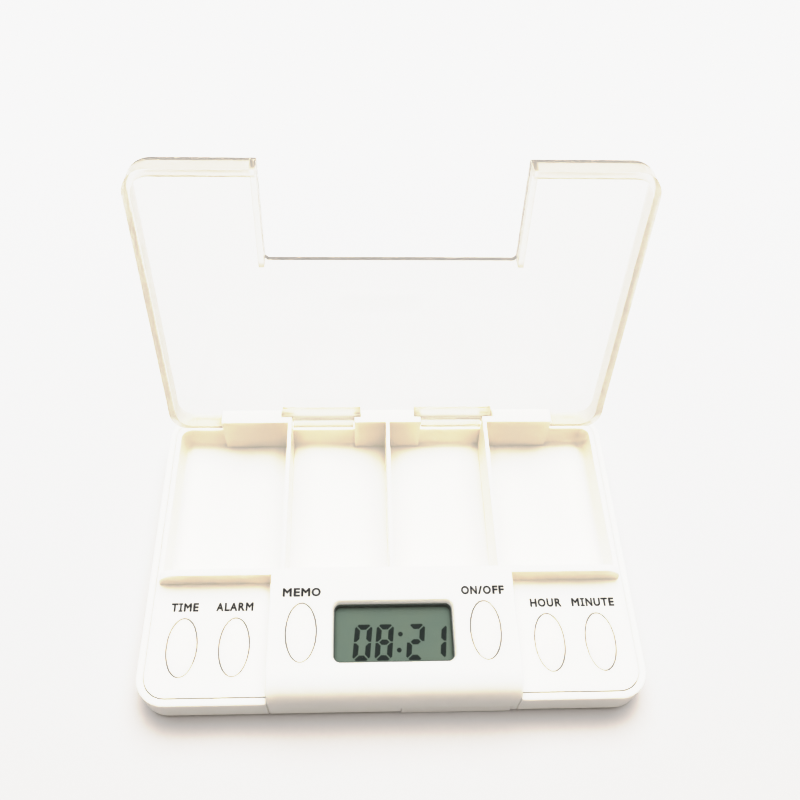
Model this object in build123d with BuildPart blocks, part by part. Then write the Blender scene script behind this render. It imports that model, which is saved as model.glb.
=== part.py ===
"""Pocket pill box with an alarm clock: a clear hinged lid over four compartments.

Millimetres, +Z up, +Y to the hinge, origin at the centre of the underside.
The lid is drawn closed and turned open about its hinge as the last step.
"""

import os
from math import sqrt

from build123d import *

os.makedirs("parts", exist_ok=True)

# Case tub
case_length = 115.0
case_depth = 76.0
case_corner = 6.8
case_wall = 1.6
case_floor = 1.4
rim_height = 9.6
foot_radius = 2.4
rim_edge = 0.3
seam_gap = 0.15
console_seam = 0.05

# Top moulding: tray, shoulders and console
tray_floor = 1.2
tray_side_wall = 1.15
tray_rear_wall = 2.65
tray_corner = 2.5
tray_draft = 5.0
tray_fillet = 1.2
step_wall = 1.5
step_y = -8.4
step_corner = 4.4
step_lid_gap = 0.2
tall_height = 15.0
divider_pitch = 25.65
divider_wall = 0.95
cover_plate = 1.5
console_width = 56.6
console_round = 5.7
console_wall = 1.5
console_edge = 0.5
console_foot = 0.45

# Hinge posts
post_plate_front = 32.4
post_plate_rear = 34.0
post_rear = 36.9
post_round = 1.5
centre_post_width = 14.0
centre_plate_width = 17.4
side_post_inner = 28.0
side_post_outer = 43.4
side_plate_outer = 43.1
post_over_rim = 0.2

# Lid and hinge
lid_inset = 0.7
lid_corner = 6.1
lid_top = 16.5
lid_panel = 1.3
lid_skirt = 1.7
lid_lip = 10.1
lid_edge = 1.5
notch_width = 57.8
notch_rear = -12.6
notch_corner = 1.0
notch_rib = 1.3
notch_rib_lip = 12.2
hinge_inset = 2.4
hinge_z = 12.7
hinge_open = 101.66
barrel_radius = 1.4
barrel_side_gap = 0.15
pin_radius = 0.7
pin_length = 1.9
pin_clearance = 0.05
pin_end_gap = 0.2
lip_over_rim = 0.25
lid_post_gap = 0.3

# Keys
key_width = 6.7
key_length = 13.3
key_gap = 0.22
key_edge_drop = 0.1
key_dome = 0.5
key_flange = 0.7
key_flange_thick = 0.8
key_flange_gap = 0.2
key_stem_width = 4.2
key_stem_length = 9.0
pad_thick = 0.6
pad_travel = 0.9
shoulder_key_y = -25.0
console_key_y = -23.75
outer_key_share = 0.723
inner_key_share = 0.291
console_key_x = 20.85

# Display
bezel_width = 28.2
bezel_depth = 14.7
bezel_y = -23.65
bezel_corner = 2.0
bezel_drop = 1.0
window_width = 27.0
window_depth = 13.4
window_y = -23.7
window_corner = 1.5
window_gap = 0.1
window_thick = 0.5
glass_width = 30.4
glass_depth = 16.8
glass_y = -23.8
glass_thick = 1.1
glass_gap = 0.1
gasket_thick = 1.5
gasket_show = 0.25
holder_wall = 0.7
holder_grip = 0.7
holder_ledge = 0.8
zebra_thick = 1.0
zebra_end_gap = 0.6

# Board
board_thick = 0.8
board_top = 5.6
board_side_gap = 4.7
board_front = -34.9
board_rear = -11.0
board_corner = 3.0
board_boss_gap = 0.3
board_screw_side = 1.9
board_screw_front = -33.0
board_screw_rear = -14.0
board_boss = 1.7
blob_radius = 3.5
blob_height = 1.2
crystal_radius = 1.0
crystal_length = 6.0
crystal_x = -10.0
crystal_y = -12.6

# Buzzer
buzzer_x = -15.0
buzzer_y = -23.5
buzzer_radius = 7.5
buzzer_plate = 0.25
buzzer_ceramic = 5.0
buzzer_ceramic_thick = 0.2
buzzer_seat_height = 1.2
buzzer_seat_land = 0.7
buzzer_rim_height = 0.6
buzzer_rim_wall = 0.8
buzzer_gap = 0.15

# Battery and its cover
cell_x = 14.25
cell_y = -23.7
cell_radius = 10.0
cell_thick = 2.5
cell_edge = 0.4
cell_gap = 0.2
cell_headroom = 0.3
well_margin = 1.0
well_length = 24.8
door_width = 24.9
door_tongue = 0.8
door_gap = 0.15
door_lift = 0.1
door_thick = 1.1
door_tongue_base = 0.65
door_rear = -11.6
door_front_round = 1.0
door_lip_top = 4.6
door_lip_wall = 1.35
door_lip_edge = 0.25
groove_front = -33.5
grip_pitch = 1.6
grip_groove = 0.8
grip_depth = 0.3
grip_length = 12.0
contact_thick = 0.2
contact_width = 4.0
contact_tab = 2.4
contact_slot_gap = 0.15

# Screws
case_screw_core = 0.7
case_screw_head = 1.5
case_screw_head_height = 0.75
case_screw_length = 6.2
case_screw_sink = 0.1
board_screw_core = 0.55
board_screw_head = 1.2
board_screw_head_height = 0.7
board_screw_length = 3.2
screw_clearance = 0.05
screw_pass = 0.15
screw_head_gap = 0.15
screw_slot_width = 0.4
screw_slot_depth = 0.4
boss_radius = 1.9
boss_side = 5.3
boss_front_y = -33.3
boss_rear_y = -13.0
post_screw_y = 34.3

# Sizes that follow from the ones above
case_front = -case_depth / 2
case_rear = case_depth / 2
hinge_y = case_rear - hinge_inset
cover_length = case_length - 2 * (case_wall + seam_gap)
cover_depth = case_depth - 2 * (case_wall + seam_gap)
cover_corner = case_corner - case_wall - seam_gap
cover_front = -cover_depth / 2
cover_rear = cover_depth / 2
tray_height = case_floor + tray_floor
tray_rear = cover_rear - tray_rear_wall
tray_half = cover_length / 2 - tray_side_wall
step_front = step_y - step_wall
shoulder_under = rim_height - cover_plate
console_under = tall_height - cover_plate
console_half = console_width / 2
console_back = case_front + console_wall
foot_drop = foot_radius - console_foot
foot_y = case_front + foot_radius - sqrt(foot_radius**2 - foot_drop**2)
round_y = case_front + console_round
round_z = tall_height - console_round
over_rim = rim_height + post_over_rim
lid_length = case_length - 2 * lid_inset
step_half = lid_length / 2 - lid_skirt - step_lid_gap
centre_plate_end = (post_plate_front + post_plate_rear) / 2
lid_under = lid_top - lid_panel
lip_radius = hinge_z - rim_height - lip_over_rim
knuckle_inner = centre_post_width / 2 + barrel_side_gap
knuckle_outer = side_post_inner - barrel_side_gap
skirt_inner = centre_plate_width / 2 + lid_post_gap
skirt_outer = divider_pitch - divider_wall / 2 - lid_post_gap
board_under = board_top - board_thick
board_length = case_length - 2 * board_side_gap
board_screw_x = console_half + board_screw_side
shoulder_width = cover_length / 2 - console_half
outer_key_x = console_half + outer_key_share * shoulder_width
inner_key_x = console_half + inner_key_share * shoulder_width
boss_wide_x = case_length / 2 - boss_side
boss_narrow_x = (inner_key_x + outer_key_x) / 2
post_screw_x = (side_post_inner + side_post_outer) / 2
glass_top = console_under - gasket_thick
glass_under = glass_top - glass_thick
door_top = door_lift + door_thick
floor_front = console_back + seam_gap
cell_under = door_top + door_gap
cell_top = cell_under + cell_thick
well_ceiling = cell_top + cell_headroom
door_left = cell_x - door_width / 2
door_right = cell_x + door_width / 2
pad_under = board_top + pad_travel
pad_top = pad_under + pad_thick
screw_head_top = case_screw_sink + case_screw_head_height
case_screw_end = screw_head_top + case_screw_length
screw_bore = case_screw_core + screw_clearance
hinge_line = Axis((0, hinge_y, hinge_z), (1, 0, 0))
case_screw_spots = [
    (side * x, y)
    for x, y in ((boss_wide_x, boss_rear_y), (boss_narrow_x, boss_front_y), (post_screw_x, post_screw_y))
    for side in (-1, 1)
]
board_screw_spots = [
    (side * board_screw_x, y) for y in (board_screw_front, board_screw_rear) for side in (-1, 1)
]
cover_boss_spots = case_screw_spots[:4]
shoulder_keys = {
    "time_button": (-outer_key_x, shoulder_key_y),
    "alarm_button": (-inner_key_x, shoulder_key_y),
    "hour_button": (inner_key_x, shoulder_key_y),
    "minute_button": (outer_key_x, shoulder_key_y),
}
console_keys = {
    "memo_button": (-console_key_x, console_key_y),
    "on_off_button": (console_key_x, console_key_y),
}


def bar(x_range, y_range, z_range, mode=Mode.ADD):
    """Add or cut a straight block between three pairs of faces."""
    sizes = [high - low for low, high in (x_range, y_range, z_range)]
    middle = [(low + high) / 2 for low, high in (x_range, y_range, z_range)]
    with Locations(tuple(middle)):
        Box(*sizes, mode=mode)


def disc(spots, radius, z_low, z_high, mode=Mode.ADD):
    """Add or cut an upright round bar at each spot."""
    with Locations(*[(x, y, (z_low + z_high) / 2) for x, y in spots]):
        Cylinder(radius, z_high - z_low, mode=mode)


def plate(length, depth, corner, z_low, z_high, centre=(0, 0), mode=Mode.ADD):
    """Add or cut a plate with round corners."""
    with BuildSketch(Plane.XY.offset(z_low)) as outline:
        with Locations(centre):
            RectangleRounded(length, depth, corner)
    extrude(outline.sketch, amount=z_high - z_low, mode=mode)


def oval(spots, width, length, z_low, z_high, mode=Mode.ADD):
    """Add or cut an upright oval bar at each spot."""
    with BuildSketch(Plane.XY.offset(z_low)) as outline:
        with Locations(*spots):
            Ellipse(width / 2, length / 2)
    extrude(outline.sketch, amount=z_high - z_low, mode=mode)


def cross_slots(spots, head_radius, z_low):
    """Cut a cross slot into each screw head."""
    with Locations(*[(x, y, z_low + screw_slot_depth / 2) for x, y in spots]):
        Box(head_radius, screw_slot_width, screw_slot_depth, mode=Mode.SUBTRACT)
        Box(screw_slot_width, head_radius, screw_slot_depth, mode=Mode.SUBTRACT)


def save(piece, name):
    """Label one finished piece and write it to its own file."""
    piece.label = name
    export_step(piece, f"parts/{name}.step")


# The tub: floor, wall and rim, with the console's gap in its front wall, the battery well,
# the buzzer's seat and the bosses that carry the board.
with BuildPart() as bottom_case:
    plate(case_length, case_depth, case_corner, 0, rim_height)
    fillet(bottom_case.faces().sort_by(Axis.Z)[0].edges(), foot_radius)
    plate(
        case_length - 2 * case_wall, case_depth - 2 * case_wall, case_corner - case_wall,
        case_floor, rim_height, mode=Mode.SUBTRACT,
    )
    chamfer(bottom_case.faces().sort_by(Axis.Z)[-1].edges(), rim_edge)

    gap_half = console_half + console_seam
    bar((-gap_half, gap_half), (case_front - 1, floor_front), (-1, rim_height + 1), Mode.SUBTRACT)

    well_x = (door_left - door_gap - well_margin, door_right + door_gap + well_margin)
    well_y = (cell_y - well_length / 2, cell_y + well_length / 2)
    bar(well_x, well_y, (case_floor, board_under))
    disc([(cell_x, cell_y)], cell_radius + cell_gap, 0, well_ceiling, Mode.SUBTRACT)
    slide_wide = (door_left - door_gap, door_right + door_gap)
    slide_narrow = (slide_wide[0] + door_tongue, slide_wide[1] - door_tongue)
    slide_y = (case_front - 1, door_rear + door_gap)
    bar(slide_wide, slide_y, (door_tongue_base, case_floor), Mode.SUBTRACT)
    bar(slide_narrow, slide_y, (-1, case_floor), Mode.SUBTRACT)

    side_contact_y = cell_y + cell_radius + contact_thick
    pocket_x = contact_width / 2 + contact_slot_gap
    pocket_y = (cell_y + cell_radius - well_margin, side_contact_y + contact_thick + contact_slot_gap)
    bar((cell_x - pocket_x, cell_x + pocket_x), pocket_y, (0, well_ceiling), Mode.SUBTRACT)
    tab_slot = contact_tab / 2 + contact_slot_gap
    for slot_y in (side_contact_y, cell_y):
        bar(
            (cell_x - tab_slot, cell_x + tab_slot),
            (slot_y - contact_slot_gap, slot_y + contact_thick + contact_slot_gap),
            (well_ceiling, board_under), Mode.SUBTRACT,
        )

    buzzer_land = case_floor + buzzer_seat_height
    seat_radius = buzzer_radius + buzzer_gap
    disc([(buzzer_x, buzzer_y)], seat_radius + buzzer_rim_wall, case_floor, buzzer_land + buzzer_rim_height)
    disc([(buzzer_x, buzzer_y)], seat_radius, buzzer_land, buzzer_land + buzzer_rim_height, Mode.SUBTRACT)
    disc([(buzzer_x, buzzer_y)], buzzer_radius - buzzer_seat_land, case_floor, buzzer_land, Mode.SUBTRACT)

    disc(board_screw_spots, board_boss, case_floor, board_under)
    disc(board_screw_spots, board_screw_core + screw_clearance, case_floor, board_under, Mode.SUBTRACT)
    disc(case_screw_spots, case_screw_core + screw_pass, -1, case_floor, Mode.SUBTRACT)
    disc(case_screw_spots, case_screw_head + screw_head_gap, -1, screw_head_top, Mode.SUBTRACT)
save(bottom_case.part, "bottom_case")

# The top moulding: one piece with the tray and its dividers, the hinge posts, the tall step
# between tray and keys, the two low shoulders and the console that stands through the rim.
with BuildPart() as top_cover:
    plate(cover_length, cover_depth, cover_corner, case_floor, rim_height)
    with BuildSketch(Plane.XY.offset(rim_height)):
        with Locations((0, (step_y + tray_rear) / 2)):
            RectangleRounded(2 * tray_half, tray_rear - step_y, tray_corner)
    extrude(amount=tray_height - rim_height, taper=tray_draft, mode=Mode.SUBTRACT)
    tray_base = top_cover.faces().filter_by_position(Axis.Z, tray_height - 0.01, tray_height + 0.01)
    fillet(tray_base.edges(), tray_fillet)

    bay_depth = step_front - cover_front - tray_side_wall
    bay_centre = (0, step_front - bay_depth / 2)
    bay_corner = cover_corner - tray_side_wall
    plate(2 * tray_half, bay_depth, bay_corner, case_floor, shoulder_under, bay_centre, Mode.SUBTRACT)

    # Tall step between tray and keys, round at its outer top corners
    with BuildSketch(Plane.XZ.offset(-step_y)) as step_face:
        with Locations((0, (shoulder_under + tall_height) / 2)):
            Rectangle(2 * step_half, tall_height - shoulder_under)
        fillet(step_face.vertices().group_by(Axis.Y)[-1], step_corner)
    extrude(amount=step_wall)

    for divider_x in (-divider_pitch, 0, divider_pitch):
        divider_sides = (divider_x - divider_wall / 2, divider_x + divider_wall / 2)
        divider_end = centre_plate_end if divider_x == 0 else post_plate_rear
        bar(divider_sides, (step_y - step_wall / 2, divider_end), (tray_height, tall_height))

    # Console: its side view runs over the top and down the front to the table
    with BuildSketch(Plane.YZ.offset(-console_half)):
        with BuildLine():
            Polyline(
                (foot_y, console_foot), (console_back, console_foot), (console_back, shoulder_under),
                (step_front, shoulder_under), (step_front, tall_height), (round_y, tall_height),
            )
            TangentArc((round_y, tall_height), (case_front, round_z), tangent=(-1, 0))
            Line((case_front, round_z), (case_front, foot_radius))
            TangentArc((case_front, foot_radius), (foot_y, console_foot), tangent=(0, -1))
        make_face()
    extrude(amount=console_width)
    round_edges = top_cover.edges().filter_by(Axis.X, reverse=True).filter_by_position(
        Axis.Z, round_z - 0.01, tall_height + 0.01
    )
    console_edges = [
        edge for edge in round_edges
        if abs(abs(edge.center().X) - console_half) < 0.01 and edge.center().Y < step_front
    ]
    fillet(console_edges, console_edge)
    with BuildSketch(Plane.YZ.offset(console_wall - console_half)):
        with BuildLine():
            Polyline(
                (console_back, round_z), (console_back, 0), (step_front, 0),
                (step_front, console_under), (round_y, console_under),
            )
            TangentArc((round_y, console_under), (console_back, round_z), tangent=(-1, 0))
        make_face()
    extrude(amount=console_width - 2 * console_wall, mode=Mode.SUBTRACT)
    bar((-console_half, console_half), (console_back, step_front), (0, shoulder_under), Mode.SUBTRACT)
    bar(slide_wide, (case_front - 1, console_back), (0, door_lip_top + door_gap), Mode.SUBTRACT)

    # Hinge posts: a wide plate towards the tray and a block behind it that holds the pins
    post_plates = [(-centre_plate_width / 2, centre_plate_width / 2)]
    post_blocks = [(-centre_post_width / 2, centre_post_width / 2)]
    for side in (-1, 1):
        post_plates.append(tuple(sorted((side * divider_pitch, side * side_plate_outer))))
        post_blocks.append(tuple(sorted((side * side_post_inner, side * side_post_outer))))
    for plate_sides in post_plates:
        bar(plate_sides, (post_plate_front, post_plate_rear), (tray_height, tall_height))
    for left, right in post_blocks:
        with BuildSketch(Plane.YZ.offset(left)) as post_side:
            with BuildLine():
                Polyline(
                    (post_plate_front, tray_height), (tray_rear, tray_height), (tray_rear, over_rim),
                    (post_rear, over_rim), (post_rear, tall_height), (post_plate_front, tall_height),
                    close=True,
                )
            make_face()
            fillet(post_side.vertices().group_by(Axis.X)[-1].group_by(Axis.Y)[-1], post_round)
        extrude(amount=right - left)
    pin_depth = pin_length + pin_end_gap
    for side in (-1, 1):
        for face_x in (centre_post_width / 2 - pin_depth / 2, side_post_inner + pin_depth / 2):
            with Locations(Location((side * face_x, hinge_y, hinge_z), (0, 90, 0))):
                Cylinder(pin_radius + pin_clearance, pin_depth, mode=Mode.SUBTRACT)

    # Display: a sloping bezel down to the window's edge
    with BuildSketch(Plane.XY.offset(tall_height - bezel_drop)):
        with Locations((0, window_y)):
            RectangleRounded(window_width, window_depth, window_corner)
    with BuildSketch(Plane.XY.offset(tall_height)):
        with Locations((0, bezel_y)):
            RectangleRounded(bezel_width, bezel_depth, bezel_corner)
    loft(mode=Mode.SUBTRACT)
    plate(
        window_width, window_depth, window_corner, console_under, tall_height - bezel_drop,
        (0, window_y), Mode.SUBTRACT,
    )

    hole_width = key_width + 2 * key_gap
    hole_length = key_length + 2 * key_gap
    oval(shoulder_keys.values(), hole_width, hole_length, shoulder_under, rim_height, Mode.SUBTRACT)
    oval(console_keys.values(), hole_width, hole_length, console_under, tall_height, Mode.SUBTRACT)

    disc(cover_boss_spots, boss_radius, case_floor, shoulder_under)
    disc(case_screw_spots, screw_bore, case_floor, case_screw_end + pin_end_gap, Mode.SUBTRACT)
save(top_cover.part, "top_cover")

# The lid, drawn closed: a clear panel with a skirt all round, cut away over the console and at
# the posts, and two knuckles with stub pins that turn in the posts.
with BuildPart() as lid_closed:
    plate(lid_length, case_depth, lid_corner, lid_lip, lid_top)
    fillet(lid_closed.faces().sort_by(Axis.Z)[-1].edges(), lid_edge)
    inside_length = lid_length - 2 * lid_skirt
    inside_depth = case_depth - 2 * lid_skirt
    plate(inside_length, inside_depth, lid_corner - lid_skirt, lid_lip, lid_under, mode=Mode.SUBTRACT)

    for side in (-1, 1):
        rib_sides = sorted((side * notch_width / 2, side * (notch_width / 2 + notch_rib)))
        bar(rib_sides, (case_front + lid_skirt / 2, notch_rear), (notch_rib_lip, lid_under))
    notch_depth = notch_rear - case_front + notch_corner + 1
    plate(
        notch_width, notch_depth, notch_corner, lid_lip, lid_top,
        (0, notch_rear - notch_depth / 2), Mode.SUBTRACT,
    )

    post_gaps = [(-skirt_inner, skirt_inner)]
    for side in (-1, 1):
        post_gaps.append(tuple(sorted((side * skirt_outer, side * (side_post_outer + lid_post_gap)))))
    for gap_sides in post_gaps:
        bar(gap_sides, (post_plate_rear, case_rear + 1), (lid_lip, lid_under), Mode.SUBTRACT)

    # The rear lip is rolled about the hinge, so it clears the rim as the lid turns
    with BuildSketch(Plane.YZ.offset(-lid_length / 2)):
        with Locations((hinge_y, lid_lip - 1)):
            Rectangle(case_rear - hinge_y + 1, hinge_z - lid_lip + 1, align=(Align.MIN, Align.MIN))
        with Locations((hinge_y, hinge_z)):
            Circle(lip_radius, mode=Mode.SUBTRACT)
    extrude(amount=lid_length, mode=Mode.SUBTRACT)

    for side in (-1, 1):
        knuckle_left = min(side * knuckle_inner, side * knuckle_outer)
        with BuildSketch(Plane.YZ.offset(knuckle_left)):
            with Locations((hinge_y, hinge_z)):
                Circle(barrel_radius)
                Rectangle(2 * barrel_radius, lid_top - lid_edge - hinge_z, align=(Align.CENTER, Align.MIN))
        extrude(amount=knuckle_outer - knuckle_inner)
        pin_span = knuckle_outer - knuckle_inner + 2 * (barrel_side_gap + pin_length)
        with Locations(Location((side * (knuckle_outer + knuckle_inner) / 2, hinge_y, hinge_z), (0, 90, 0))):
            Cylinder(pin_radius, pin_span)
save(lid_closed.part.rotate(hinge_line, -hinge_open), "lid")


def make_key(name, spot, plate_top, plate_under):
    """A domed oval cap held under its plate by a flange, with a pad on its foot."""
    flange_top = plate_under - key_flange_gap
    flange_under = flange_top - key_flange_thick
    dome_base = plate_top - key_edge_drop
    with BuildPart() as dome:
        with BuildSketch(Plane.XZ):
            with BuildLine():
                Line((0, key_dome), (0, 0))
                Line((0, 0), (key_width / 2, 0))
                TangentArc((0, key_dome), (key_width / 2, 0), tangent=(1, 0))
            make_face()
        revolve(axis=Axis.Z)
        scale(by=(1, key_length / key_width, 1))
    with BuildPart() as cap:
        oval([spot], key_width + 2 * key_flange, key_length + 2 * key_flange, flange_under, flange_top)
        oval([spot], key_width, key_length, flange_top, dome_base)
        add(dome.part.moved(Location((spot[0], spot[1], dome_base))))
        if flange_under - pad_top > 0.01:
            oval([spot], key_stem_width, key_stem_length, pad_top, flange_under)
    save(cap.part, name)
    with BuildPart() as pad:
        oval([spot], key_stem_width, key_stem_length, pad_under, pad_top)
    save(pad.part, name.replace("button", "pad"))


for key_name, key_spot in shoulder_keys.items():
    make_key(key_name, key_spot, rim_height, shoulder_under)
for key_name, key_spot in console_keys.items():
    make_key(key_name, key_spot, tall_height, console_under)

# The window pane lies in the opening, on the dark gasket that stands on the display glass.
with BuildPart() as lcd_window:
    plate(
        window_width - 2 * window_gap, window_depth - 2 * window_gap, window_corner - window_gap,
        console_under, console_under + window_thick, (0, window_y),
    )
save(lcd_window.part, "lcd_window")

with BuildPart() as lcd_gasket:
    plate(glass_width, glass_depth, glass_gap, glass_top, console_under, (0, glass_y))
    plate(
        window_width - 2 * gasket_show, window_depth - 2 * gasket_show, window_corner - gasket_show,
        glass_top, console_under, (0, window_y), Mode.SUBTRACT,
    )
save(lcd_gasket.part, "lcd_gasket")

with BuildPart() as lcd_panel:
    bar(
        (-glass_width / 2, glass_width / 2), (glass_y - glass_depth / 2, glass_y + glass_depth / 2),
        (glass_under, glass_top),
    )
save(lcd_panel.part, "lcd_panel")

# The holder stands on the board and grips the glass by its edge.
holder_hole_x = glass_width / 2 - holder_ledge
holder_hole_y = glass_depth / 2 - holder_ledge
with BuildPart() as lcd_frame:
    grip_x = glass_width / 2 + glass_gap
    grip_y = glass_depth / 2 + glass_gap
    outer_x = grip_x + holder_wall
    outer_y = grip_y + holder_wall
    bar((-outer_x, outer_x), (glass_y - outer_y, glass_y + outer_y), (board_top, glass_under + holder_grip))
    bar((-grip_x, grip_x), (glass_y - grip_y, glass_y + grip_y), (glass_under, glass_top), Mode.SUBTRACT)
    bar(
        (-holder_hole_x, holder_hole_x), (glass_y - holder_hole_y, glass_y + holder_hole_y),
        (board_top, glass_under), Mode.SUBTRACT,
    )
save(lcd_frame.part, "lcd_frame")

# Two rubber strips carry the display's signals up from the board.
with BuildPart() as zebra_strips:
    zebra_half = holder_hole_x - zebra_end_gap
    for side in (-1, 1):
        zebra_outer = glass_y + side * (holder_hole_y - glass_gap)
        zebra_faces = sorted((zebra_outer, zebra_outer - side * zebra_thick))
        bar((-zebra_half, zebra_half), zebra_faces, (board_top, glass_under))
save(zebra_strips.part, "zebra_strips")

with BuildPart() as circuit_board:
    plate(
        board_length, board_rear - board_front, board_corner, board_under, board_top,
        (0, (board_front + board_rear) / 2),
    )
    disc(cover_boss_spots, boss_radius + board_boss_gap, board_under, board_top, Mode.SUBTRACT)
    disc(board_screw_spots, board_screw_core + screw_pass, board_under, board_top, Mode.SUBTRACT)
save(circuit_board.part, "circuit_board")

# The drop of resin over the clock chip is a low cap of a ball.
with BuildPart() as chip_blob:
    with BuildSketch(Plane.XZ.offset(-glass_y)):
        with BuildLine():
            Line((0, board_top), (blob_radius, board_top))
            TangentArc((0, board_top + blob_height), (blob_radius, board_top), tangent=(1, 0))
            Line((0, board_top + blob_height), (0, board_top))
        make_face()
    revolve(axis=Axis((0, glass_y, 0), (0, 0, 1)))
save(chip_blob.part, "chip_blob")

with BuildPart() as crystal:
    with Locations(Location((crystal_x, crystal_y, board_top + crystal_radius), (0, 90, 0))):
        Cylinder(crystal_radius, crystal_length)
save(crystal.part, "crystal")

with BuildPart() as buzzer:
    disc_top = buzzer_land + buzzer_plate
    disc([(buzzer_x, buzzer_y)], buzzer_radius, buzzer_land, disc_top)
    disc([(buzzer_x, buzzer_y)], buzzer_ceramic, disc_top, disc_top + buzzer_ceramic_thick)
save(buzzer.part, "buzzer")

with BuildPart() as coin_cell:
    disc([(cell_x, cell_y)], cell_radius, cell_under, cell_top)
    fillet(coin_cell.edges().filter_by(GeomType.CIRCLE), cell_edge)
save(coin_cell.part, "coin_cell")

# One leaf presses on the cell from above, the other stands beside it.
tab_sides = (cell_x - contact_tab / 2, cell_x + contact_tab / 2)
leaf_sides = (cell_x - contact_width / 2, cell_x + contact_width / 2)
with BuildPart() as battery_contact_top:
    leaf_y = (cell_y - cell_radius / 2, cell_y + cell_radius / 2)
    bar(leaf_sides, leaf_y, (well_ceiling - contact_thick, well_ceiling))
    bar(tab_sides, (cell_y, cell_y + contact_thick), (well_ceiling, board_under))
save(battery_contact_top.part, "battery_contact_top")

with BuildPart() as battery_contact_side:
    upright_y = (side_contact_y, side_contact_y + contact_thick)
    bar(leaf_sides, upright_y, (cell_under, well_ceiling))
    bar(tab_sides, upright_y, (well_ceiling, board_under))
save(battery_contact_side.part, "battery_contact_side")

# The battery cover slides in from the front: its upper half runs over two lips in the floor,
# and its upturned front shows as a low step under the console.
with BuildPart() as battery_cover:
    bar((door_left, door_right), (case_front, door_rear), (door_lift, door_top))
    bar((door_left, door_right), (case_front, case_front + door_lip_wall), (door_lift, door_lip_top))
    front_edges = battery_cover.edges().filter_by(Axis.X).group_by(Axis.Y)[0].sort_by(Axis.Z)
    chamfer(front_edges[-1], door_lip_edge)
    front_edges = battery_cover.edges().filter_by(Axis.X).group_by(Axis.Y)[0].sort_by(Axis.Z)
    fillet(front_edges[0], door_front_round)
    for groove_number in range(4):
        groove_y = groove_front + groove_number * grip_pitch
        bar(
            (cell_x - grip_length / 2, cell_x + grip_length / 2), (groove_y, groove_y + grip_groove),
            (0, door_lift + grip_depth), Mode.SUBTRACT,
        )
    for side in (-1, 1):
        lip_edge = cell_x + side * door_width / 2
        lip_sides = sorted((lip_edge, lip_edge - side * (door_tongue + door_gap)))
        bar(lip_sides, (floor_front - door_gap, door_rear), (0, door_tongue_base + door_gap), Mode.SUBTRACT)
save(battery_cover.part, "battery_cover")

with BuildPart() as case_screws:
    disc(case_screw_spots, case_screw_head, case_screw_sink, screw_head_top)
    disc(case_screw_spots, case_screw_core, screw_head_top, case_screw_end)
    cross_slots(case_screw_spots, case_screw_head, case_screw_sink)
save(case_screws.part, "case_screws")

with BuildPart() as board_screws:
    disc(board_screw_spots, board_screw_head, board_top, board_top + board_screw_head_height)
    disc(board_screw_spots, board_screw_core, board_top - board_screw_length, board_top)
    cross_slots(board_screw_spots, board_screw_head, board_top + board_screw_head_height - screw_slot_depth)
save(board_screws.part, "board_screws")
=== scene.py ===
import math

import bmesh
import bpy
from mathutils import Matrix, Vector


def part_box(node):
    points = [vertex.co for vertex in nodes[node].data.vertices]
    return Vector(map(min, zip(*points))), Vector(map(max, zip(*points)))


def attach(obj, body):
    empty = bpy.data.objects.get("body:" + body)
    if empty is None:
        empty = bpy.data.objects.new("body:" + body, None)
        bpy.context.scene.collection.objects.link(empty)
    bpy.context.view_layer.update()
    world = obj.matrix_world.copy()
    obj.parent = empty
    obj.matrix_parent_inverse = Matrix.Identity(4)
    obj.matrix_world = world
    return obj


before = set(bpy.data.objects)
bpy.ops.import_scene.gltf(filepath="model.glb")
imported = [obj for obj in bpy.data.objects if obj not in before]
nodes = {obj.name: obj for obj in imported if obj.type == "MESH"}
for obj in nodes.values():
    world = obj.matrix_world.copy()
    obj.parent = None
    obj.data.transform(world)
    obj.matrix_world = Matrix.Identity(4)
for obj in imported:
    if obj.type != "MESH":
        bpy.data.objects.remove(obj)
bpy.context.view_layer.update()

MM = 0.001

# The camera, at the photograph's angle.
# It looks down at the open box from in front, a little turned and rolled, as the photograph does.
# Its focal length and the centre of its view are given in pixels of the square photograph.
photo_side = 800
focal_length, centre_across, centre_down = 843.27, 389.79, 397.12
camera_place = Vector((-8.19, -89.03, 200.58)) * MM
camera_turn, camera_pitch, camera_roll = (math.radians(angle) for angle in (3.96, 55.06, 3.02))
ahead = Vector((
    math.sin(camera_turn) * math.cos(camera_pitch),
    math.cos(camera_turn) * math.cos(camera_pitch),
    -math.sin(camera_pitch),
))
level_right = Vector((math.cos(camera_turn), -math.sin(camera_turn), 0))
level_up = level_right.cross(ahead)
right = level_right * math.cos(camera_roll) + level_up * math.sin(camera_roll)
up = level_up * math.cos(camera_roll) - level_right * math.sin(camera_roll)
camera_data = bpy.data.cameras.new("photo_camera")
camera_data.sensor_width = 36
camera_data.lens = focal_length / photo_side * camera_data.sensor_width
camera_data.shift_x = (photo_side / 2 - centre_across) / photo_side
camera_data.shift_y = -(photo_side / 2 - centre_down) / photo_side
camera_data.clip_start = 5 * MM
camera = bpy.data.objects.new("photo_camera", camera_data)
camera.matrix_world = Matrix((
    (right.x, up.x, -ahead.x, camera_place.x),
    (right.y, up.y, -ahead.y, camera_place.y),
    (right.z, up.z, -ahead.z, camera_place.z),
    (0, 0, 0, 1),
))
bpy.context.scene.collection.objects.link(camera)
bpy.context.scene.camera = camera

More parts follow.
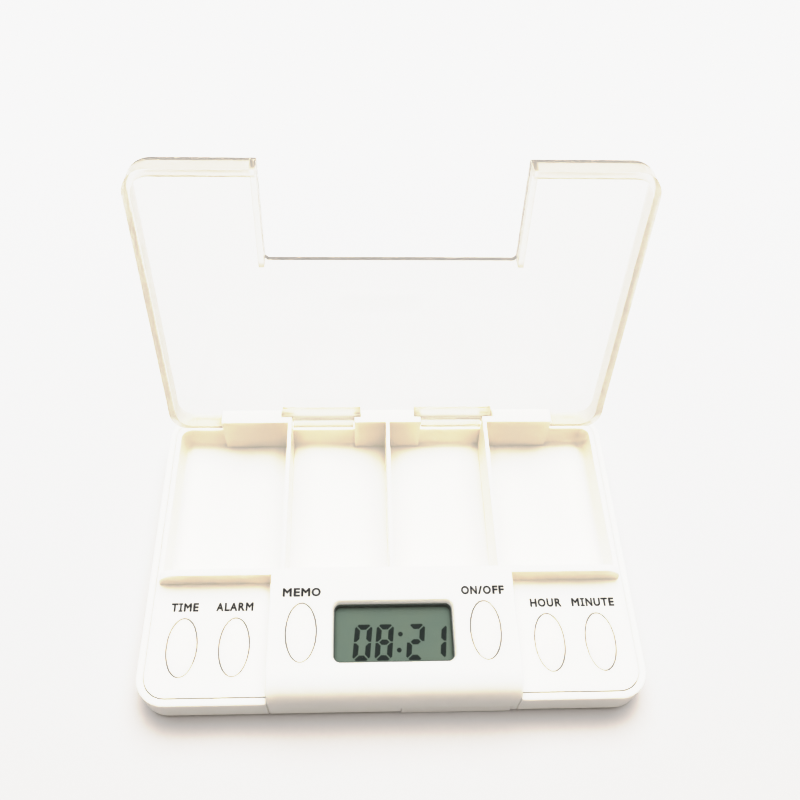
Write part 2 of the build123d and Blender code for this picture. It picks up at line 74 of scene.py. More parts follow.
# The room: a plain pale floor under a large soft light from above and a little behind.
# The walls show pale in clear plastic but light the object little, so its front stands in soft warm shade.
# The tone curve rolls off the brightest whites, as the photograph's does: each step is a brightness and the
# level that it shows at, up to the brightest.
brightest_white, shown_white = 1.8, 0.96
tone_steps = (
    (0.2, 0.215), (0.42, 0.425), (0.54, 0.52), (0.66, 0.66), (0.78, 0.82), (0.94, 0.892), (1.1, 0.915),
    (1.3, 0.93), (1.5, 0.944),
)
view = bpy.context.scene.view_settings
view.view_transform = "Standard"
view.use_curve_mapping = True
tones = view.curve_mapping
tones.white_level = (brightest_white, brightest_white, brightest_white)
# The fourth curve acts on all three colours at once.
tone_curve = tones.curves[3]
tone_curve.points[1].location = (1.0, shown_white)
for bright, shown in tone_steps:
    tone_curve.points.new(bright / brightest_white, shown)
tones.update()
# Light that crosses the lid's many clear walls needs this many bounces to come out again.
paths = bpy.context.scene.cycles
paths.max_bounces = paths.glossy_bounces = paths.transmission_bounces = 64


def linear(code):
    """A colour from its sRGB hex code, in Blender's linear values."""
    parts = [int(code[place:place + 2], 16) / 255 for place in (0, 2, 4)]
    return [part / 12.92 if part <= 0.04045 else ((part + 0.055) / 1.055) ** 2.4 for part in parts] + [1]


def add_node(tree, kind, settings=None, links=None):
    """Adds a node with its settings and links, which are named or numbered inputs fed by other nodes' outputs."""
    node = tree.nodes.new(kind)
    for name, value in (settings or {}).items():
        if isinstance(name, str) and hasattr(node, name):
            setattr(node, name, value)
        else:
            node.inputs[name].default_value = value
    for name, source in (links or {}).items():
        tree.links.new(source, node.inputs[name])
    return node


def new_material(name):
    """An empty node material and its tree."""
    material = bpy.data.materials.new(name)
    material.use_nodes = True
    material.node_tree.nodes.clear()
    return material, material.node_tree


def place_new(name, mesh_data, material):
    """Turns a finished bmesh, already in its place, into an object at the origin."""
    mesh = bpy.data.meshes.new(name)
    bmesh.ops.recalc_face_normals(mesh_data, faces=mesh_data.faces)
    mesh_data.to_mesh(mesh)
    mesh_data.free()
    piece = bpy.data.objects.new(name, mesh)
    bpy.context.scene.collection.objects.link(piece)
    piece.data.materials.append(material)
    return piece


# A colour Mix node has several sockets of each name, so its factor, its two colours and its result go by number.
MIX_BY, FIRST, SECOND, MIXED = 0, 6, 7, 2

paper, tree = new_material("matt_white_paper")
# Uncoated white card: calendered, so it is flat with a fine fibre grain, and with painted shade toward the front.
sweep_front, sweep_rear = -60, 160
coords = add_node(tree, "ShaderNodeTexCoord")
fibres = add_node(tree, "ShaderNodeTexNoise", {"Scale": 1 / (1.2 * MM), "Detail": 4},
                  {"Vector": coords.outputs["Object"]})
place = add_node(tree, "ShaderNodeSeparateXYZ", links={"Vector": coords.outputs["Object"]})
# Painted shade: the card's colour runs from a darker, warmer tint at the front to a paler grey at the rear.
painted_light_sweep = add_node(tree, "ShaderNodeMapRange", {"From Min": sweep_front * MM, "From Max": sweep_rear * MM},
                 {"Value": place.outputs["Y"]})
shade = add_node(tree, "ShaderNodeMix", {"data_type": "RGBA", FIRST: linear("C8C5C3"), SECOND: linear("E3E3E3")},
                 {MIX_BY: painted_light_sweep.outputs["Result"]})
tint = add_node(tree, "ShaderNodeMix", {"data_type": "RGBA", "blend_type": "MULTIPLY", SECOND: linear("FBFBFB")},
                {MIX_BY: fibres.outputs["Fac"], FIRST: shade.outputs[MIXED]})
grain = add_node(tree, "ShaderNodeBump", {"Strength": 0.05, "Distance": 0.1 * MM}, {"Height": fibres.outputs["Fac"]})
shader = add_node(tree, "ShaderNodeBsdfPrincipled", {"Roughness": 0.9, "IOR": 1.45},
                  {"Base Color": tint.outputs[MIXED], "Normal": grain.outputs["Normal"]})
add_node(tree, "ShaderNodeOutputMaterial", links={"Surface": shader.outputs["BSDF"]})
# The card lies just under the case, so the two faces don't share one plane.
floor_reach, floor_drop = 3000, 0.02
card = bmesh.new()
bmesh.ops.create_grid(card, x_segments=1, y_segments=1, size=floor_reach * MM,
                      matrix=Matrix.Translation((0, 0, -floor_drop * MM)))
floor = place_new("floor", card, paper)
if floor.data.polygons[0].normal.z < 0:
    floor.data.flip_normals()

surround = bpy.data.worlds.new("white_room")
surround.use_nodes = True
bpy.context.scene.world = surround
tree = surround.node_tree
tree.nodes.clear()
way = add_node(tree, "ShaderNodeTexCoord")
height = add_node(tree, "ShaderNodeSeparateXYZ", links={"Vector": way.outputs["Generated"]})
walls = add_node(tree, "ShaderNodeMapRange", {"From Min": 0.35, "From Max": 0.75, "To Min": 0.85, "To Max": 0.12},
                 {"Value": height.outputs["Z"]})
light_path = add_node(tree, "ShaderNodeLightPath")
level = add_node(tree, "ShaderNodeMix", {"B": 0.14},
                 {MIX_BY: light_path.outputs["Is Diffuse Ray"], "A": walls.outputs["Result"]})
warmth = add_node(tree, "ShaderNodeMix", {"data_type": "RGBA", FIRST: linear("FFF7F0"), SECOND: linear("FFE6CC")},
                  {MIX_BY: light_path.outputs["Is Diffuse Ray"]})
sky = add_node(tree, "ShaderNodeBackground",
               links={"Color": warmth.outputs[MIXED], "Strength": level.outputs["Result"]})
add_node(tree, "ShaderNodeOutputWorld", links={"Surface": sky.outputs["Background"]})

soft_light = bpy.data.lights.new("soft_overhead", "SUN")
soft_light.energy = 5.4
soft_light.angle = math.radians(64)
lamp = bpy.data.objects.new("soft_overhead", soft_light)
lamp.rotation_euler = (math.radians(-18), math.radians(2), 0)
lamp.visible_glossy = lamp.visible_transmission = False
bpy.context.scene.collection.objects.link(lamp)

# The case: a shallow tub below, and above it one moulding that makes the tray, its walls, posts and console.
# Both are cream-white ABS, injection moulded in a lightly polished mould and screwed together from below.
abs_white, tree = new_material("moulded_abs_white")
# Moulded ABS: a satin skin with a fine spark-eroded grain and faint flow shading. Light passes well into it,
# which softens and warms its shade. The grain is drawn coarser than life, so that it shows.
abs_body = {"IOR": 1.54, "Subsurface Weight": 1.0, "Subsurface Radius": (1, 1, 1), "Subsurface Scale": 1.5 * MM}
coords = add_node(tree, "ShaderNodeTexCoord")
flow = add_node(tree, "ShaderNodeTexNoise", {"Scale": 1 / (38 * MM), "Detail": 2, "Distortion": 0.6},
                {"Vector": coords.outputs["Object"]})
spark_grain = add_node(tree, "ShaderNodeTexNoise", {"Scale": 1 / (0.35 * MM), "Detail": 2},
                       {"Vector": coords.outputs["Object"]})
tint = add_node(tree, "ShaderNodeMix", {"data_type": "RGBA", FIRST: linear("F5F0E6"), SECOND: linear("F8F3EA")},
                {MIX_BY: flow.outputs["Fac"]})
gloss = add_node(tree, "ShaderNodeMapRange", {"From Min": 0.3, "From Max": 0.7, "To Min": 0.34, "To Max": 0.46},
                 {"Value": flow.outputs["Fac"]})
skin = add_node(tree, "ShaderNodeBump", {"Strength": 0.10, "Distance": 0.02 * MM},
                {"Height": spark_grain.outputs["Fac"]})
shader = add_node(tree, "ShaderNodeBsdfPrincipled", abs_body,
                  {"Base Color": tint.outputs[MIXED], "Roughness": gloss.outputs["Result"],
                   "Normal": skin.outputs["Normal"]})
add_node(tree, "ShaderNodeOutputMaterial", links={"Surface": shader.outputs["BSDF"]})


def finish_node(name, material):
    """Gives a carried-over solid its material."""
    nodes[name].data.materials.clear()
    nodes[name].data.materials.append(material)


for case_piece in ("bottom_case", "top_cover"):
    finish_node(case_piece, abs_white)

# The key caps: six domed ovals that stand in close holes in the console and the shoulders.
# They are the same ABS, polished brighter in their mould, each with a black rubber pad on its foot.
abs_polished, tree = new_material("polished_abs_white")
# Polished moulded ABS: the case's plastic with a smoother, glossier skin, slightly dulled where fingers press.
coords = add_node(tree, "ShaderNodeTexCoord")
rub = add_node(tree, "ShaderNodeTexNoise", {"Scale": 1 / (4 * MM), "Detail": 3},
               {"Vector": coords.outputs["Object"]})
tint = add_node(tree, "ShaderNodeMix", {"data_type": "RGBA", FIRST: linear("F4EEE3"), SECOND: linear("F7F1E7")},
                {MIX_BY: rub.outputs["Fac"]})
gloss = add_node(tree, "ShaderNodeMapRange", {"From Min": 0.3, "From Max": 0.7, "To Min": 0.22, "To Max": 0.34},
                 {"Value": rub.outputs["Fac"]})
skin = add_node(tree, "ShaderNodeBump", {"Strength": 0.04, "Distance": 0.02 * MM}, {"Height": rub.outputs["Fac"]})
shader = add_node(tree, "ShaderNodeBsdfPrincipled", abs_body,
                  {"Base Color": tint.outputs[MIXED], "Roughness": gloss.outputs["Result"],
                   "Normal": skin.outputs["Normal"]})
add_node(tree, "ShaderNodeOutputMaterial", links={"Surface": shader.outputs["BSDF"]})

rubber, tree = new_material("carbon_silicone_rubber")
# Carbon-filled silicone rubber: pressed in a plain mould, so it is matt black with a powdery bloom.
coords = add_node(tree, "ShaderNodeTexCoord")
bloom = add_node(tree, "ShaderNodeTexNoise", {"Scale": 1 / (0.8 * MM), "Detail": 5},
                 {"Vector": coords.outputs["Object"]})
tint = add_node(tree, "ShaderNodeMix", {"data_type": "RGBA", FIRST: linear("191919"), SECOND: linear("2A2A29")},
                {MIX_BY: bloom.outputs["Fac"]})
skin = add_node(tree, "ShaderNodeBump", {"Strength": 0.2, "Distance": 0.03 * MM}, {"Height": bloom.outputs["Fac"]})
shader = add_node(tree, "ShaderNodeBsdfPrincipled", {"Roughness": 0.75, "IOR": 1.43},
                  {"Base Color": tint.outputs[MIXED], "Normal": skin.outputs["Normal"]})
add_node(tree, "ShaderNodeOutputMaterial", links={"Surface": shader.outputs["BSDF"]})

for key in ("time", "alarm", "memo", "on_off", "hour", "minute"):
    finish_node(key + "_button", abs_polished)
    finish_node(key + "_pad", rubber)

# The legends: each key's plain function word, above it.
# They are pad printed in black ink on the shoulders and the console.
ink, tree = new_material("pad_printed_black_ink")
# Pad-printing ink: a thin opaque film, a little broken at the scale of the plastic's grain.
coords = add_node(tree, "ShaderNodeTexCoord")
film = add_node(tree, "ShaderNodeTexNoise", {"Scale": 1 / (0.15 * MM), "Detail": 3},
                {"Vector": coords.outputs["Object"]})
tint = add_node(tree, "ShaderNodeMix", {"data_type": "RGBA", FIRST: linear("161618"), SECOND: linear("2B2A2C")},
                {MIX_BY: film.outputs["Fac"]})
shader = add_node(tree, "ShaderNodeBsdfPrincipled", {"Roughness": 0.45, "IOR": 1.5},
                  {"Base Color": tint.outputs[MIXED]})
add_node(tree, "ShaderNodeOutputMaterial", links={"Surface": shader.outputs["BSDF"]})
# Sizes and places are in millimetres. The swell thickens the letters' strokes by a share of their height.
shoulder_top, console_top = 9.6, 15.0
shoulder_line, console_line = -16.6, -15.4
cap_height, print_depth = 2.05, 0.02
print_swell = 0.034
# Each letter's width and the space at its left and right, as shares of its height.
letter_widths = {
    "T": (0.81, 0.02, 0.02), "I": (0.48, 0.07, 0.07), "M": (0.94, 0.09, 0.09), "E": (0.66, 0.11, 0.04),
    "A": (0.92, 0.01, 0.01), "L": (0.62, 0.11, 0.01), "R": (0.82, 0.11, 0.0), "H": (0.80, 0.09, 0.09),
    "O": (0.95, 0.06, 0.06), "U": (0.80, 0.09, 0.09), "N": (0.80, 0.09, 0.09), "F": (0.64, 0.11, 0.02),
    "/": (0.54, 0.02, 0.02),
}


def thicken(flat, height):
    """Draws all of a flat bmesh's faces up into films of one height."""
    raised = bmesh.ops.extrude_face_region(flat, geom=flat.faces[:])
    top = [part for part in raised["geom"] if isinstance(part, bmesh.types.BMVert)]
    bmesh.ops.translate(flat, verts=top, vec=(0, 0, height))


def letter_film(letter):
    """A plain heavy letter as a thin film, one unit high, wide and thick, from its lower left corner."""
    film = bmesh.new()
    if letter == "I":
        foot, stem_left, stem_right = 0.17, 0.3, 0.7
        film.faces.new([film.verts.new((x, y, 0)) for x, y in (
            (0, 0), (1, 0), (1, foot), (stem_right, foot), (stem_right, 1 - foot), (1, 1 - foot), (1, 1),
            (0, 1), (0, 1 - foot), (stem_left, 1 - foot), (stem_left, foot), (0, foot),
        )])
        thicken(film, 1)
        return film
    outline = bpy.data.curves.new("letter", "FONT")
    outline.body = letter
    outline.resolution_u = 4
    outline.bevel_depth = print_swell
    outline.bevel_resolution = 0
    draft = bpy.data.objects.new("letter", outline)
    bpy.context.scene.collection.objects.link(draft)
    flat = bpy.data.meshes.new_from_object(draft.evaluated_get(bpy.context.evaluated_depsgraph_get()))
    bpy.data.objects.remove(draft)
    film.from_mesh(flat)
    bpy.data.meshes.remove(flat)
    bmesh.ops.remove_doubles(film, verts=film.verts, dist=0.0002)
    low = Vector([min(vert.co[axis] for vert in film.verts) for axis in range(3)])
    size = [max(vert.co[axis] for vert in film.verts) - low[axis] for axis in range(3)]
    bmesh.ops.translate(film, verts=film.verts, vec=-low)
    bmesh.ops.scale(film, verts=film.verts, vec=[1 / side for side in size])
    return film


for key, word, left, right_end, baseline, surface in (
    ("time", "TIME", -51.5, -45.2, shoulder_line, shoulder_top),
    ("alarm", "ALARM", -41.1, -32.5, shoulder_line, shoulder_top),
    ("hour", "HOUR", 32.8, 40.3, shoulder_line, shoulder_top),
    ("minute", "MINUTE", 42.7, 52.9, shoulder_line, shoulder_top),
    ("memo", "MEMO", -25.3, -16.6, console_line, console_top),
    ("on_off", "ON/OFF", 15.9, 25.9, console_line, console_top),
):
    shares = [letter_widths[letter] for letter in word]
    scale_x = (right_end - left) / (sum(sum(share) for share in shares) - shares[0][1] - shares[-1][2])
    cursor = left - shares[0][1] * scale_x
    word_films = bmesh.new()
    for letter, (width, before, after) in zip(word, shares):
        film = letter_film(letter)
        bmesh.ops.scale(film, verts=film.verts, vec=(width * scale_x * MM, cap_height * MM, print_depth * MM))
        # A quarter of the film sinks into the plastic, so no gap shows under it.
        bmesh.ops.translate(film, verts=film.verts, vec=((cursor + before * scale_x) * MM, baseline * MM,
                                                         (surface - print_depth / 4) * MM))
        cursor += (width + before + after) * scale_x
        stamped = bpy.data.meshes.new("letter")
        film.to_mesh(stamped)
        film.free()
        word_films.from_mesh(stamped)
        bpy.data.meshes.remove(stamped)
    legend = place_new(key + "_legend", word_films, ink)
    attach(legend, "case")

# The display: a clear window in the console over a grey-green liquid crystal panel.
# The panel is two sheets of glass with a matt polariser.
# A white frame holds it, and rubber strips join it to the board.
acrylic, tree = new_material("clear_acrylic_pane")
# Moulded acrylic: polished both sides, with a few hairline rubs.
coords = add_node(tree, "ShaderNodeTexCoord")
rubs = add_node(tree, "ShaderNodeTexNoise", {"Scale": 1 / (3 * MM), "Detail": 6, "Distortion": 2},
                {"Vector": coords.outputs["Object"]})
gloss = add_node(tree, "ShaderNodeMapRange", {"To Min": 0.0, "To Max": 0.012}, {"Value": rubs.outputs["Fac"]})
clear = add_node(tree, "ShaderNodeBsdfPrincipled",
                 {"Base Color": linear("FAFCFA"), "IOR": 1.49, "Transmission Weight": 1.0},
                 {"Roughness": gloss.outputs["Result"]})


def let_light_pass(tree, seen, passing_tint):
    """Shows a clear plastic as it is made, but lets the light that falls through it go straight on."""
    passing = add_node(tree, "ShaderNodeBsdfTransparent", {"Color": linear(passing_tint)})
    light_path = add_node(tree, "ShaderNodeLightPath")
    unseen = add_node(tree, "ShaderNodeMath", {"operation": "MAXIMUM"},
                      {0: light_path.outputs["Is Shadow Ray"], 1: light_path.outputs["Is Diffuse Ray"]})
    return add_node(tree, "ShaderNodeMixShader",
                    links={MIX_BY: unseen.outputs["Value"], 1: seen, 2: passing.outputs["BSDF"]})


shader = let_light_pass(tree, clear.outputs["BSDF"], "F2F4F2")
add_node(tree, "ShaderNodeOutputMaterial", links={"Surface": shader.outputs["Shader"]})
finish_node("lcd_window", acrylic)

lcd_glass, tree = new_material("lcd_polariser_film")
# Polariser film on glass: matt grey-green with faint warm clouds and the fine sparkle of its matt coat.
coords = add_node(tree, "ShaderNodeTexCoord")
clouds = add_node(tree, "ShaderNodeTexNoise", {"Scale": 1 / (7 * MM), "Detail": 2},
                  {"Vector": coords.outputs["Object"]})
sparkle = add_node(tree, "ShaderNodeTexNoise", {"Scale": 1 / (0.25 * MM), "Detail": 1},
                   {"Vector": coords.outputs["Object"]})
tint = add_node(tree, "ShaderNodeMix", {"data_type": "RGBA", FIRST: linear("5E7068"), SECOND: linear("6A7667")},
                {MIX_BY: clouds.outputs["Fac"]})
skin = add_node(tree, "ShaderNodeBump", {"Strength": 0.05, "Distance": 0.02 * MM}, {"Height": sparkle.outputs["Fac"]})
shader = add_node(tree, "ShaderNodeBsdfPrincipled", {"Roughness": 0.42, "IOR": 1.5},
                  {"Base Color": tint.outputs[MIXED], "Normal": skin.outputs["Normal"]})
add_node(tree, "ShaderNodeOutputMaterial", links={"Surface": shader.outputs["BSDF"]})
finish_node("lcd_panel", lcd_glass)
finish_node("lcd_frame", abs_white)

crystal_ink, tree = new_material("darkened_liquid_crystal")
# Switched liquid crystal: the segments go almost black, with a green cast and a faintly uneven tone.
coords = add_node(tree, "ShaderNodeTexCoord")
unevenness = add_node(tree, "ShaderNodeTexNoise", {"Scale": 1 / (1.5 * MM), "Detail": 2},
                      {"Vector": coords.outputs["Object"]})
tint = add_node(tree, "ShaderNodeMix", {"data_type": "RGBA", FIRST: linear("121A19"), SECOND: linear("1A2322")},
                {MIX_BY: unevenness.outputs["Fac"]})
shader = add_node(tree, "ShaderNodeBsdfPrincipled", {"Roughness": 0.42, "IOR": 1.5},
                  {"Base Color": tint.outputs[MIXED]})
add_node(tree, "ShaderNodeOutputMaterial", links={"Surface": shader.outputs["BSDF"]})

# The digits' sizes and places are in millimetres, and their slant is a share of their height.
digit_low, digit_wide, digit_tall = -29.7, 4.25, 8.6
stroke, corner_cut, segment_gap, slant = 1.5, 0.9, 0.28, 0.09
dot_radius, dot_sides = 0.55, 20
crystal_gap, crystal_depth = 0.004, 0.02
crystal_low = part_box("lcd_panel")[1].z + crystal_gap * MM
far, high, middle, inner = digit_wide, digit_tall, digit_tall / 2, stroke / 2
cut, mitre = corner_cut, corner_cut / 2
segment_corners = {
    "a": ((mitre, high - mitre), (cut, high), (far - cut, high), (far - mitre, high - mitre),
          (far - stroke, high - stroke), (stroke, high - stroke)),
    "b": ((far, high - cut), (far - mitre, high - mitre), (far - stroke, high - stroke),
          (far - stroke, middle + inner), (far - inner, middle), (far, middle)),
    "c": ((far, middle), (far - inner, middle), (far - stroke, middle - inner), (far - stroke, stroke),
          (far - mitre, mitre), (far, cut)),
    "d": ((mitre, mitre), (stroke, stroke), (far - stroke, stroke), (far - mitre, mitre), (far - cut, 0), (cut, 0)),
    "e": ((0, middle), (0, cut), (mitre, mitre), (stroke, stroke), (stroke, middle - inner), (inner, middle)),
    "f": ((mitre, high - mitre), (0, high - cut), (0, middle), (inner, middle), (stroke, middle + inner),
          (stroke, high - stroke)),
    "g": ((inner, middle), (stroke, middle + inner), (far - stroke, middle + inner), (far - inner, middle),
          (far - stroke, middle - inner), (stroke, middle - inner)),
}
segments = bmesh.new()
# The digits 0, 8, 2 and 1, each with the place of its left side and its lit segments.
for left, lit in ((-9.55, "abcdef"), (-4.6, "abcdefg"), (2.53, "abdeg"), (7.53, "bc")):
    for segment in lit:
        segments.faces.new([
            segments.verts.new(((left + x + slant * y) * MM, (digit_low + y) * MM, crystal_low))
            for x, y in segment_corners[segment]
        ])
segments.normal_update()
trimmed = bmesh.ops.inset_individual(segments, faces=segments.faces[:], thickness=segment_gap / 2 * MM,
                                     use_even_offset=True)
bmesh.ops.delete(segments, geom=trimmed["faces"], context="FACES")
for dot_x, dot_y in ((1.62, -23.58), (1.24, -27.25)):
    bmesh.ops.create_circle(segments, cap_ends=True, radius=dot_radius * MM, segments=dot_sides,
                            matrix=Matrix.Translation((dot_x * MM, dot_y * MM, crystal_low)))
thicken(segments, crystal_depth * MM)
digits = place_new("display_digits", segments, crystal_ink)
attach(digits, "case")

foam, tree = new_material("gasket_foam_painted_shade")
# Closed-cell foam: die cut and matt, with the fine pits of its cut cells, in a dark grey-green of painted shade.
coords = add_node(tree, "ShaderNodeTexCoord")
cells = add_node(tree, "ShaderNodeTexVoronoi", {"Scale": 1 / (0.25 * MM)}, {"Vector": coords.outputs["Object"]})
# Painted shade: the foam's tone stands in for the shadow along the window's rear edge.
tint = add_node(tree, "ShaderNodeMix", {"data_type": "RGBA", FIRST: linear("454B47"), SECOND: linear("565D58")},
                {MIX_BY: cells.outputs["Distance"]})
skin = add_node(tree, "ShaderNodeBump", {"Strength": 0.4, "Distance": 0.05 * MM},
                {"Height": cells.outputs["Distance"]})
shader = add_node(tree, "ShaderNodeBsdfPrincipled", {"Roughness": 0.9, "IOR": 1.4},
                  {"Base Color": tint.outputs[MIXED], "Normal": skin.outputs["Normal"]})
add_node(tree, "ShaderNodeOutputMaterial", links={"Surface": shader.outputs["BSDF"]})
finish_node("lcd_gasket", foam)

striped_rubber, tree = new_material("striped_zebra_rubber")
# Connector rubber: pink silicone striped by black conducting layers across it, cut from a pressed block.
# The real layers are about a tenth as wide, too fine to show.
coords = add_node(tree, "ShaderNodeTexCoord")
layers = add_node(tree, "ShaderNodeTexWave", {"wave_type": "BANDS", "bands_direction": "X", "Scale": 1 / (4 * MM)},
                  {"Vector": coords.outputs["Object"]})
tint = add_node(tree, "ShaderNodeMix", {"data_type": "RGBA", FIRST: linear("E09AA6"), SECOND: linear("2B2527")},
                {MIX_BY: layers.outputs["Fac"]})
shader = add_node(tree, "ShaderNodeBsdfPrincipled", {"Roughness": 0.7, "IOR": 1.43},
                  {"Base Color": tint.outputs[MIXED]})
add_node(tree, "ShaderNodeOutputMaterial", links={"Surface": shader.outputs["BSDF"]})
finish_node("zebra_strips", striped_rubber)

# The board under the console, with the clock's chip under a drop of resin and a small crystal beside it.
# It is glass-fibre laminate, etched, coated in green solder mask and screwed up to bosses on the moulding.
laminate, tree = new_material("solder_masked_laminate")
# Solder mask over copper: a glossy green lacquer, lighter where tracks lie under it, with the weave just showing.
coords = add_node(tree, "ShaderNodeTexCoord")
tracks = add_node(tree, "ShaderNodeTexBrick",
                  {"Scale": 1 / (6 * MM), "Color1": (0, 0, 0, 1), "Color2": (0.3, 0.3, 0.3, 1), "Mortar": (1, 1, 1, 1),
                   "Mortar Size": 0.06, "Brick Width": 1.1, "Row Height": 0.28},
                  {"Vector": coords.outputs["Object"]})
weave = add_node(tree, "ShaderNodeTexWave", {"Scale": 1 / (3 * MM), "Distortion": 0.5},
                 {"Vector": coords.outputs["Object"]})
tint = add_node(tree, "ShaderNodeMix", {"data_type": "RGBA", FIRST: linear("1F5B33"), SECOND: linear("3E8A4C")},
                {MIX_BY: tracks.outputs["Color"]})
skin = add_node(tree, "ShaderNodeBump", {"Strength": 0.15, "Distance": 0.03 * MM}, {"Height": tracks.outputs["Color"]})
fine = add_node(tree, "ShaderNodeBump", {"Strength": 0.05, "Distance": 0.02 * MM},
                {"Height": weave.outputs["Fac"], "Normal": skin.outputs["Normal"]})
shader = add_node(tree, "ShaderNodeBsdfPrincipled", {"Roughness": 0.3, "IOR": 1.5},
                  {"Base Color": tint.outputs[MIXED], "Normal": fine.outputs["Normal"]})
add_node(tree, "ShaderNodeOutputMaterial", links={"Surface": shader.outputs["BSDF"]})
finish_node("circuit_board", laminate)

resin, tree = new_material("black_epoxy_resin")
# Epoxy drop: poured and set, so it is glossy black with a soft ripple.
coords = add_node(tree, "ShaderNodeTexCoord")
ripple = add_node(tree, "ShaderNodeTexNoise", {"Scale": 1 / (2.5 * MM), "Detail": 1},
                  {"Vector": coords.outputs["Object"]})
tint = add_node(tree, "ShaderNodeMix", {"data_type": "RGBA", FIRST: linear("0F0F10"), SECOND: linear("1C1C1E")},
                {MIX_BY: ripple.outputs["Fac"]})
skin = add_node(tree, "ShaderNodeBump", {"Strength": 0.2, "Distance": 0.1 * MM}, {"Height": ripple.outputs["Fac"]})
shader = add_node(tree, "ShaderNodeBsdfPrincipled", {"Roughness": 0.15, "IOR": 1.55},
                  {"Base Color": tint.outputs[MIXED], "Normal": skin.outputs["Normal"]})
add_node(tree, "ShaderNodeOutputMaterial", links={"Surface": shader.outputs["BSDF"]})
finish_node("chip_blob", resin)


def metal(name, dark, light, rough_low, rough_high, grain_mm, stretch, bump):
    """A metal whose tone and gloss vary with a grain of the given size, drawn out by stretch along x, y and z."""
    material, tree = new_material(name)
    coords = add_node(tree, "ShaderNodeTexCoord")
    drawn = add_node(tree, "ShaderNodeMapping", {"Scale": stretch}, {"Vector": coords.outputs["Object"]})
    grain = add_node(tree, "ShaderNodeTexNoise", {"Scale": 1 / (grain_mm * MM), "Detail": 4},
                     {"Vector": drawn.outputs["Vector"]})
    tint = add_node(tree, "ShaderNodeMix", {"data_type": "RGBA", FIRST: linear(dark), SECOND: linear(light)},
                    {MIX_BY: grain.outputs["Fac"]})
    gloss = add_node(tree, "ShaderNodeMapRange",
                     {"From Min": 0.3, "From Max": 0.7, "To Min": rough_low, "To Max": rough_high},
                     {"Value": grain.outputs["Fac"]})
    skin = add_node(tree, "ShaderNodeBump", {"Strength": bump, "Distance": 0.02 * MM},
                    {"Height": grain.outputs["Fac"]})
    shader = add_node(tree, "ShaderNodeBsdfPrincipled", {"Metallic": 1.0},
                      {"Base Color": tint.outputs[MIXED], "Roughness": gloss.outputs["Result"],
                       "Normal": skin.outputs["Normal"]})
    add_node(tree, "ShaderNodeOutputMaterial", links={"Surface": shader.outputs["BSDF"]})
    return material


# Tinned steel can: drawn and dipped, bright with a mottled bloom.
finish_node("crystal", metal("tinned_steel_can", "B9BABC", "DCDDDF", 0.18, 0.34, 0.9, (1, 1, 1), 0.1))

# The buzzer: a thin brass disc on a ring in the tub's floor, which rings the alarm.
# It is punched from rolled brass sheet, so its grain runs one way.
finish_node("buzzer", metal("rolled_brass_sheet", "B08A45", "D7B46A", 0.22, 0.38, 0.5, (0.08, 1, 1), 0.15))

# The coin cell and its two contacts, in the well behind the battery cover.
# The cell's can is drawn from satin steel, and the contacts are bent from nickel-plated spring strip.
# Both keep the fine lines of their rolling, which stretch the highlights.
finish_node("coin_cell", metal("satin_steel_cell_can", "A9AAAB", "CBCCCC", 0.25, 0.42, 0.4, (0.1, 1, 1), 0.12))
spring_strip = metal("nickel_plated_strip", "B5B3AC", "D8D6CF", 0.2, 0.32, 0.6, (1, 0.12, 1), 0.08)
for contact in ("battery_contact_top", "battery_contact_side"):
    finish_node(contact, spring_strip)

# The battery cover: a flat slide in the underside, whose front edge shows as a step low on the console's front.
# It is the case's ABS, moulded separately.
finish_node("battery_cover", abs_white)

# The screws: six self-tapping screws up through the tub, and four smaller ones that hold the board.
# They are zinc-plated steel with rolled threads.
zinc_screw = metal("zinc_plated_steel", "A6A8AC", "D2D4D8", 0.24, 0.4, 0.3, (1, 1, 0.3), 0.1)
for screws in ("case_screws", "board_screws"):
    finish_node(screws, zinc_screw)

# The lid: one clear moulding with a skirt all round, a wide notch for the console, and the hinge's knuckles.
# It is general-purpose polystyrene, injection moulded and polished, and snaps onto the posts by two pins each.
polystyrene, tree = new_material("polished_polystyrene")
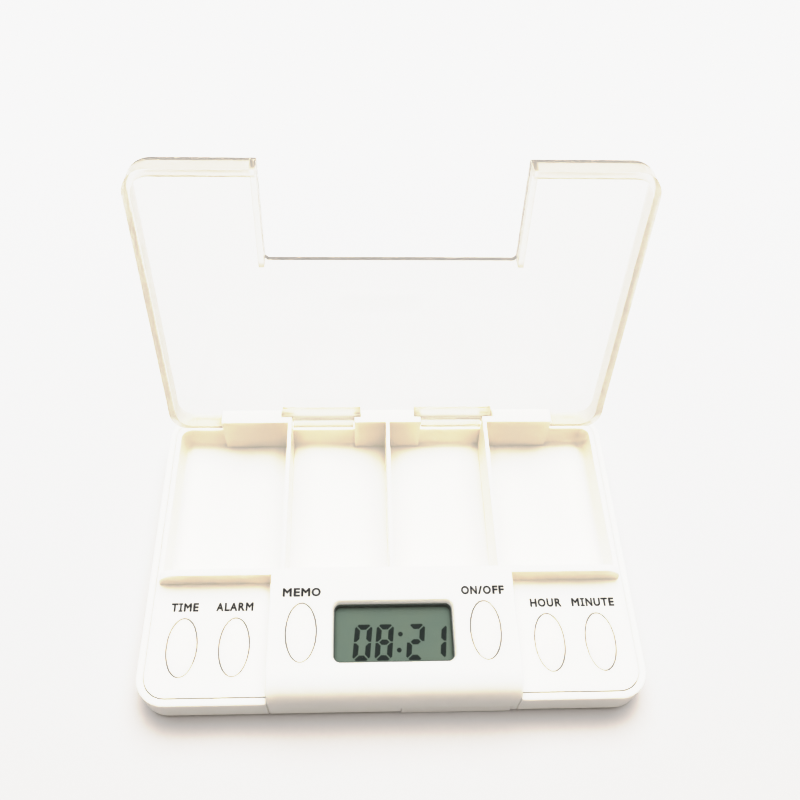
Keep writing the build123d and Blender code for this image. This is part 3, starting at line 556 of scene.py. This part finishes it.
# Clear polystyrene: a water-clear polished panel with a faint waviness, and a milky warm-grey skirt of painted shade.
# The haze goes by the depth along the open lid's outward direction: it fades over the skirt's last part, in
# millimetres, before the panel's inside.
lid_outward = (0, 0.979, -0.202)
panel_inside, haze_fade = 34.8, 0.9
skirt_haze, panel_haze = 0.38, 0.12
coords = add_node(tree, "ShaderNodeTexCoord")
waviness = add_node(tree, "ShaderNodeTexNoise", {"Scale": 1 / (14 * MM), "Detail": 1},
                    {"Vector": coords.outputs["Object"]})
rubs = add_node(tree, "ShaderNodeTexNoise", {"Scale": 1 / (5 * MM), "Detail": 8, "Distortion": 3},
                {"Vector": coords.outputs["Object"]})
gloss = add_node(tree, "ShaderNodeMapRange", {"From Min": 0.35, "From Max": 0.75, "To Min": 0.02, "To Max": 0.10},
                 {"Value": rubs.outputs["Fac"]})
skin = add_node(tree, "ShaderNodeBump", {"Strength": 0.03, "Distance": 0.2 * MM}, {"Height": waviness.outputs["Fac"]})
clear = add_node(tree, "ShaderNodeBsdfPrincipled",
                 {"Base Color": linear("FDFDFB"), "IOR": 1.52, "Transmission Weight": 1.0},
                 {"Roughness": gloss.outputs["Result"], "Normal": skin.outputs["Normal"]})
depth = add_node(tree, "ShaderNodeVectorMath", {"operation": "DOT_PRODUCT", 1: lid_outward},
                 {0: coords.outputs["Object"]})
# Painted shade: the skirt is mixed milkier than the panel, for the darker bands its walls show when seen edge-on.
skirt_painted_shade = add_node(tree, "ShaderNodeMapRange",
                {"From Min": (panel_inside - haze_fade) * MM, "From Max": panel_inside * MM,
                 "To Min": skirt_haze, "To Max": panel_haze},
                {"Value": depth.outputs["Value"]})
milky = add_node(tree, "ShaderNodeBsdfTranslucent", {"Color": linear("E6E2D9")})
hazy = add_node(tree, "ShaderNodeMixShader",
                links={MIX_BY: skirt_painted_shade.outputs["Result"], 1: clear.outputs["BSDF"], 2: milky.outputs["BSDF"]})
shader = let_light_pass(tree, hazy.outputs["Shader"], "FAFAF8")
cast = add_node(tree, "ShaderNodeVolumeAbsorption", {"Color": linear("E9E4D8"), "Density": 8})
add_node(tree, "ShaderNodeOutputMaterial",
         links={"Surface": shader.outputs["Shader"], "Volume": cast.outputs["Volume"]})
finish_node("lid", polystyrene)
